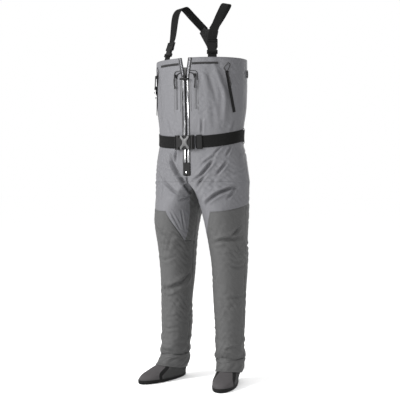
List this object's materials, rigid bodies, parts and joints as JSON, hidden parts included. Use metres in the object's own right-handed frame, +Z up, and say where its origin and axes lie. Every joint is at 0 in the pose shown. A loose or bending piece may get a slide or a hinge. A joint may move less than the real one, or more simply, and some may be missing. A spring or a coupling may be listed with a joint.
{
  "type": "chest waders",
  "caption": "Stocking-foot chest waders with zip front, adjustable shoulder straps, back yoke, belt, gravel guards and neoprene feet.",
  "frame": {"origin": "on the floor under the middle of the bounding box, at the bottom of the soles", "axes": "+Z up, -Y the wearer's front, +X the wearer's left"},
  "size_m": [0.441, 0.3662, 1.6552],
  "materials": {
    "light_fabric": "light grey laminated nylon, fine weave, faint sheen",
    "dark_fabric": "darker grey reinforced nylon laminate",
    "neoprene": "dark grey knit-faced neoprene, matt",
    "sole_rubber": "black coated neoprene sole, matt",
    "webbing": "black ribbed polyester webbing",
    "coated_tape": "glossy coated waterproof zip tape",
    "plastic": "black moulded acetal",
    "steel": "bright nickel plated steel"
  },
  "bodies": {
    "garment": {"chest_front_left": "light_fabric", "thigh_front_left": "light_fabric", "shin_front_left": "dark_fabric", "thigh_back_left": "light_fabric", "shin_back_left": "dark_fabric", "gravel_guard_left": "dark_fabric", "bootie_upper_left": "neoprene", "bootie_sole_left": "sole_rubber", "chest_pocket_left_zip": "coated_tape", "side_pocket_left_zip": "coated_tape", "chest_web_left": "webbing", "belt_loop_left": "light_fabric", "strap_tab_left": "webbing", "strap_left_buckle_socket": "plastic", "strap_left_buckle_plug": "plastic", "shoulder_strap_left": "webbing", "chest_front_right": "light_fabric", "thigh_front_right": "light_fabric", "shin_front_right": "dark_fabric", "thigh_back_right": "light_fabric", "shin_back_right": "dark_fabric", "gravel_guard_right": "dark_fabric", "bootie_upper_right": "neoprene", "bootie_sole_right": "sole_rubber", "chest_pocket_right_zip": "coated_tape", "side_pocket_right_zip": "coated_tape", "chest_web_right": "webbing", "belt_loop_right": "light_fabric", "strap_tab_right": "webbing", "strap_right_buckle_socket": "plastic", "strap_right_buckle_plug": "plastic", "shoulder_strap_right": "webbing", "back_panel": "light_fabric", "main_zip_tape_left": "coated_tape", "main_zip_tape_right": "coated_tape", "main_zip_bottom_dock": "plastic", "belt_webbing": "webbing", "belt_buckle_socket": "plastic", "belt_buckle_plug": "plastic", "back_yoke": "webbing", "d_ring_tab": "webbing", "side_loop": "plastic"},
    "main_zip_slider": {"main_zip_slider": "plastic"},
    "main_zip_pull": {"main_zip_pull": "plastic"},
    "chest_pocket_left_slider": {"chest_pocket_left_slider": "plastic"},
    "chest_pocket_left_pull": {"chest_pocket_left_pull": "plastic"},
    "chest_pocket_right_slider": {"chest_pocket_right_slider": "plastic"},
    "chest_pocket_right_pull": {"chest_pocket_right_pull": "plastic"},
    "side_pocket_left_slider": {"side_pocket_left_slider": "plastic"},
    "side_pocket_left_pull": {"side_pocket_left_pull": "plastic"},
    "side_pocket_right_slider": {"side_pocket_right_slider": "plastic"},
    "side_pocket_right_pull": {"side_pocket_right_pull": "plastic"},
    "d_ring": {"d_ring": "steel"},
    "belt_keeper": {"belt_keeper": "plastic"},
    "belt_buckle_arm_left": {"belt_buckle_arm_left": "plastic"},
    "belt_buckle_arm_right": {"belt_buckle_arm_right": "plastic"},
    "strap_left_buckle_arm_left": {"strap_left_buckle_arm_left": "plastic"},
    "strap_left_buckle_arm_right": {"strap_left_buckle_arm_right": "plastic"},
    "strap_right_buckle_arm_left": {"strap_right_buckle_arm_left": "plastic"},
    "strap_right_buckle_arm_right": {"strap_right_buckle_arm_right": "plastic"}
  },
  "joints": [
    {"name": "main_zip_slide", "type": "slide", "parent": "garment", "child": "main_zip_slider", "axis": [0, -0.036, 0.9994], "range_m": [-0.22, 0.068]},
    {"name": "main_zip_pull_swing", "type": "hinge", "parent": "main_zip_slider", "child": "main_zip_pull", "pos_m": [0, -0.13247, 1.31766], "axis": [-1, 0, 0], "range_deg": [0, 150]},
    {"name": "chest_pocket_left_slide", "type": "slide", "parent": "garment", "child": "chest_pocket_left_slider", "axis": [0, -0.0359, 0.9994], "range_m": [-0.128, 0]},
    {"name": "chest_pocket_left_pull_swing", "type": "hinge", "parent": "chest_pocket_left_slider", "child": "chest_pocket_left_pull", "pos_m": [0.04737, -0.12865, 1.32421], "axis": [-0.9866, -0.1633, -0.0059], "range_deg": [0, 150]},
    {"name": "chest_pocket_right_slide", "type": "slide", "parent": "garment", "child": "chest_pocket_right_slider", "axis": [0, -0.0359, 0.9994], "range_m": [-0.128, 0]},
    {"name": "chest_pocket_right_pull_swing", "type": "hinge", "parent": "chest_pocket_right_slider", "child": "chest_pocket_right_pull", "pos_m": [-0.04737, -0.12865, 1.32421], "axis": [-0.9866, 0.1633, 0.0059], "range_deg": [0, 150]},
    {"name": "side_pocket_left_slide", "type": "slide", "parent": "garment", "child": "side_pocket_left_slider", "axis": [-0.116, -0.1849, 0.9759], "range_m": [-0.15, 0]},
    {"name": "side_pocket_left_pull_swing", "type": "hinge", "parent": "side_pocket_left_slider", "child": "side_pocket_left_pull", "pos_m": [0.17535, -0.07067, 1.33265], "axis": [-0.5099, -0.8321, -0.2183], "range_deg": [0, 150]},
    {"name": "side_pocket_right_slide", "type": "slide", "parent": "garment", "child": "side_pocket_right_slider", "axis": [0.116, -0.1849, 0.9759], "range_m": [-0.15, 0]},
    {"name": "side_pocket_right_pull_swing", "type": "hinge", "parent": "side_pocket_right_slider", "child": "side_pocket_right_pull", "pos_m": [-0.17535, -0.07067, 1.33265], "axis": [-0.5099, 0.8321, 0.2183], "range_deg": [0, 150]},
    {"name": "d_ring_swing", "type": "hinge", "parent": "garment", "child": "d_ring", "pos_m": [-0.20459, -0.01951, 1.266], "axis": [-0.3999, 0.9166, 0], "range_deg": [0, 110]},
    {"name": "belt_keeper_slide", "type": "slide", "parent": "garment", "child": "belt_keeper", "axis": [0.9684, 0.2433, 0.0553], "range_m": [-0.001, 0.01]},
    {"name": "belt_buckle_arm_left_press", "type": "hinge", "parent": "garment", "child": "belt_buckle_arm_left", "pos_m": [0.01489, -0.12305, 1.0154], "axis": [0, 1, 0], "range_deg": [0, 11], "stiffness_Nm_per_rad": 0.6},
    {"name": "belt_buckle_arm_right_press", "type": "hinge", "parent": "garment", "child": "belt_buckle_arm_right", "pos_m": [0.01489, -0.12305, 1.0608], "axis": [0, -1, 0], "range_deg": [0, 11], "stiffness_Nm_per_rad": 0.6},
    {"name": "strap_left_buckle_arm_left_press", "type": "hinge", "parent": "garment", "child": "strap_left_buckle_arm_left", "pos_m": [0.11596, -0.06313, 1.45331], "axis": [-0.4169, 0.8548, -0.309], "range_deg": [0, 9], "stiffness_Nm_per_rad": 0.6},
    {"name": "strap_left_buckle_arm_right_press", "type": "hinge", "parent": "garment", "child": "strap_left_buckle_arm_right", "pos_m": [0.08774, -0.07689, 1.45331], "axis": [0.4169, -0.8548, 0.309], "range_deg": [0, 9], "stiffness_Nm_per_rad": 0.6},
    {"name": "strap_right_buckle_arm_left_press", "type": "hinge", "parent": "garment", "child": "strap_right_buckle_arm_left", "pos_m": [-0.08774, -0.07689, 1.45331], "axis": [0.4169, 0.8548, -0.309], "range_deg": [0, 9], "stiffness_Nm_per_rad": 0.6},
    {"name": "strap_right_buckle_arm_right_press", "type": "hinge", "parent": "garment", "child": "strap_right_buckle_arm_right", "pos_m": [-0.11596, -0.06313, 1.45331], "axis": [-0.4169, -0.8548, 0.309], "range_deg": [0, 9], "stiffness_Nm_per_rad": 0.6}
  ]
}
